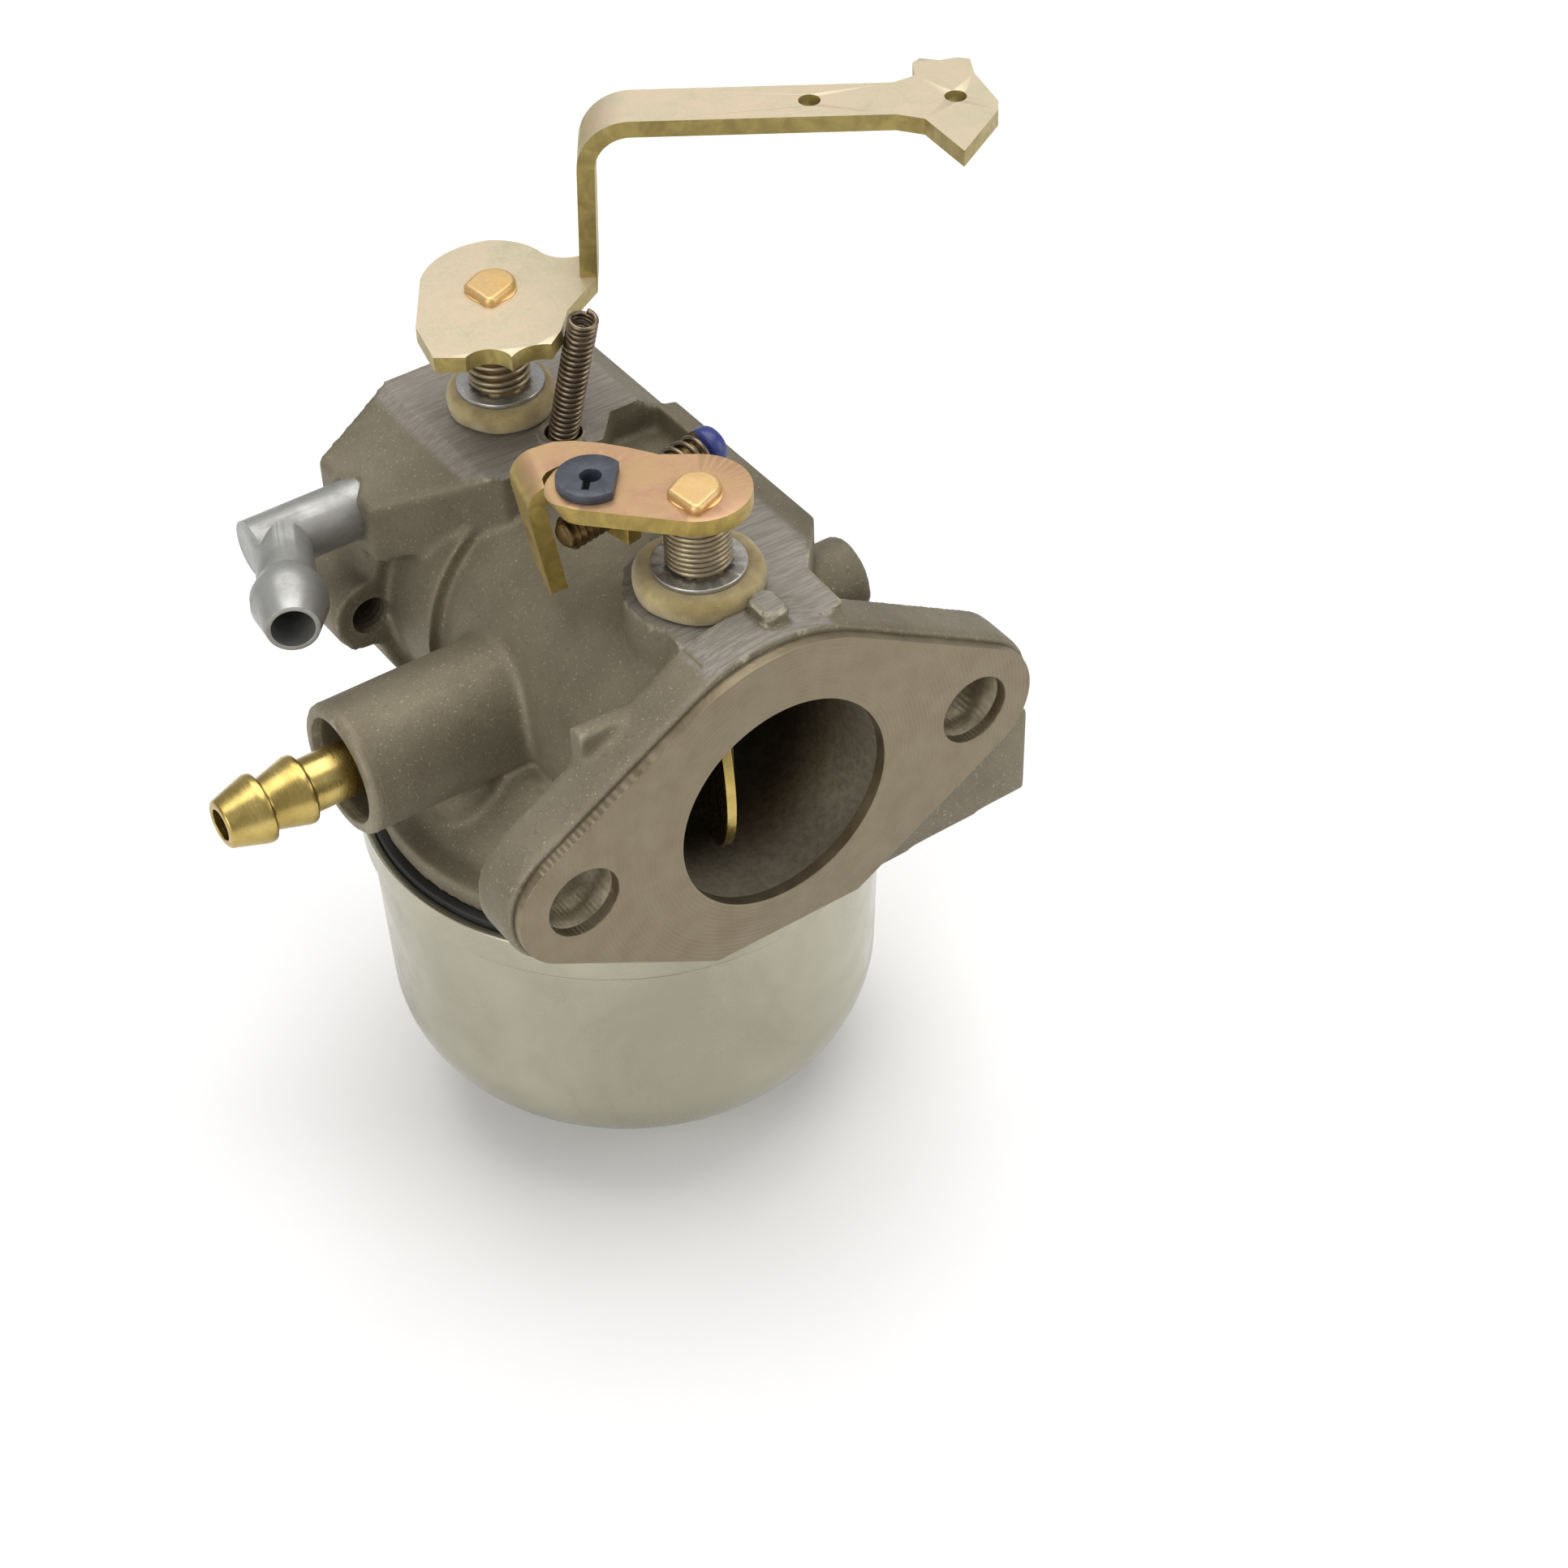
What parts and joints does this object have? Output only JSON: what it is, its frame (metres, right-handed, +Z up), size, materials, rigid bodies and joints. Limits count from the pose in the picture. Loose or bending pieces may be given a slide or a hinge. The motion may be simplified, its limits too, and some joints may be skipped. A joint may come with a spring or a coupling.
{
  "type": "small engine carburetor",
  "caption": "Float carburetor with round fuel bowl, two-bolt engine flange, vertical throttle and choke shafts, a long bent choke arm, fuel hose barb and vent elbow.",
  "frame": {"origin": "centre of the throttle bore on the engine flange's machined face", "axes": "+Z up, -Y out of the engine flange towards the engine, +Y along the air path to the air horn, +X completes the frame; the fuel boss points along -X"},
  "size_m": [0.0836, 0.0582, 0.0985],
  "materials": {
    "cast_alloy": "sand-rough grey-brown casting, machined on its faces",
    "zinc_plate": "bright zinc plate",
    "pink_chromate": "zinc plate with warm pink and gold chromate",
    "pale_chromate": "zinc plate with pale gold chromate",
    "brass": "machined brass",
    "felt": "pressed felt, oily cream",
    "spring_steel": "dark spring wire",
    "rubber": "black rubber",
    "dark_plastic": "dark grey nylon",
    "silver_steel": "plain plated steel"
  },
  "bodies": {
    "casting": {"carburetor_body": "cast_alloy", "fuel_inlet_fitting": "brass", "vent_elbow": "silver_steel", "idle_restrictor": "brass", "idle_restrictor_cap": "silver_steel", "float_bowl": "zinc_plate", "bowl_gasket": "rubber", "bowl_nut": "zinc_plate", "bowl_nut_washer": "dark_plastic", "main_nozzle": "brass", "inlet_needle_seat": "brass", "float_hinge_pin": "silver_steel", "throttle_seal": "felt", "throttle_seal_washer": "silver_steel", "throttle_shaft_spring": "spring_steel", "choke_seal": "felt", "choke_seal_washer": "silver_steel", "choke_shaft_spring": "spring_steel", "choke_detent_spring": "spring_steel"},
    "throttle": {"throttle_shaft": "pale_chromate", "throttle_plate": "brass", "throttle_plate_screw": "silver_steel", "throttle_lever": "pink_chromate", "governor_link_bushing": "dark_plastic", "idle_speed_spring": "spring_steel"},
    "idle_screw": {"idle_speed_screw": "silver_steel"},
    "choke": {"choke_shaft": "pale_chromate", "choke_plate": "brass", "choke_plate_screw": "silver_steel", "choke_lever": "pale_chromate"},
    "float_arm": {"float": "dark_plastic"},
    "needle": {"inlet_needle": "silver_steel"}
  },
  "joints": [
    {"name": "throttle_turn", "type": "hinge", "parent": "casting", "child": "throttle", "pos_m": [0, 0.01235, 0], "axis": [0, 0, 1], "range_deg": [-55, 20]},
    {"name": "idle_screw_turn", "type": "hinge", "parent": "throttle", "child": "idle_screw", "pos_m": [-0.0089, 0.02, 0.0213], "axis": [0.9839, 0.1788, 0], "range_deg": [-180, 180]},
    {"name": "choke_turn", "type": "hinge", "parent": "casting", "child": "choke", "pos_m": [0, 0.0452, 0], "axis": [0, 0, 1], "range_deg": [0, 75], "deforming": ["choke_detent_spring"]},
    {"name": "float_swing", "type": "hinge", "parent": "casting", "child": "float_arm", "pos_m": [-0.0203, 0.028, -0.0207], "axis": [0, 1, 0], "range_deg": [0, 10]},
    {"name": "needle_lift", "type": "slide", "parent": "casting", "child": "needle", "axis": [0, 0, -1], "range_m": [0, 0.0005]}
  ],
  "couplings": [
    {"joint": "needle_lift", "follows": "float_swing", "m_per_rad": 0.0024}
  ]
}
